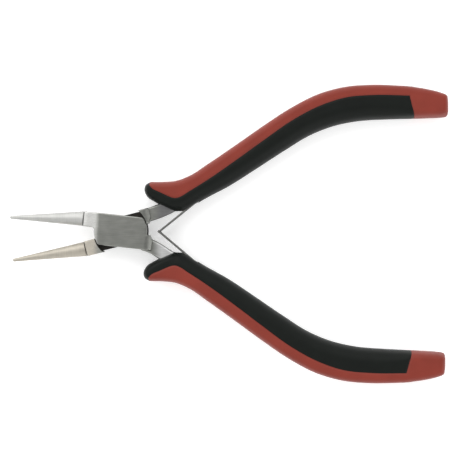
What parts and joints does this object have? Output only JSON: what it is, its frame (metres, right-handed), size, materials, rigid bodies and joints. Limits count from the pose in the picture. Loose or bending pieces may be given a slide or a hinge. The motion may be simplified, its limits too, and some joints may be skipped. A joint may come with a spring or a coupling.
{
  "type": "round nose pliers",
  "caption": "Jewellery pliers with tapered round jaws, a box joint, a two-leaf return spring and two-colour moulded grips.",
  "frame": {"origin": "middle of the tool's base, open at rest and lying flat", "axes": "+X from the jaw tips to the handle ends, +Z along the pivot, up from the table"},
  "size_m": [0.1294, 0.0884, 0.0104],
  "materials": {
    "lever_steel": "satin ground",
    "rivet_steel": "ground flush with the cheek",
    "spring_steel": "cold rolled, polished",
    "grip_red": "satin moulded",
    "grip_black": "soft matte moulded"
  },
  "bodies": {
    "box_half": {"box_lever": "lever_steel", "pivot_rivet": "rivet_steel", "lower_spring_foot": "spring_steel", "lower_spring_rivet": "rivet_steel", "lower_grip_shell": "grip_red", "lower_grip_inlay": "grip_black"},
    "tongue_half": {"tongue_lever": "lever_steel", "upper_spring_foot": "spring_steel", "upper_spring_rivet": "rivet_steel", "upper_grip_shell": "grip_red", "upper_grip_inlay": "grip_black"},
    "upper_leaf": {"upper_spring_arm": "spring_steel"},
    "lower_leaf": {"lower_spring_arm": "spring_steel"}
  },
  "joints": [
    {"name": "handle_pivot", "type": "hinge", "parent": "box_half", "child": "tongue_half", "pos_m": [-0.03163, 0, 0.0052], "axis": [0, 0, 1], "range_deg": [-20.5, 5], "stiffness_Nm_per_rad": 0.9},
    {"name": "upper_leaf_bend", "type": "hinge", "parent": "tongue_half", "child": "upper_leaf", "pos_m": [-0.00759, 0.0105, 0.0052], "axis": [0, 0, 1], "range_deg": [-8, 2]},
    {"name": "lower_leaf_bend", "type": "hinge", "parent": "box_half", "child": "lower_leaf", "pos_m": [-0.00759, -0.0105, 0.0052], "axis": [0, 0, 1], "range_deg": [-2, 8]}
  ],
  "couplings": [
    {"joint": "upper_leaf_bend", "follows": "handle_pivot", "ratio": 0.385},
    {"joint": "lower_leaf_bend", "follows": "handle_pivot", "ratio": -0.385}
  ]
}
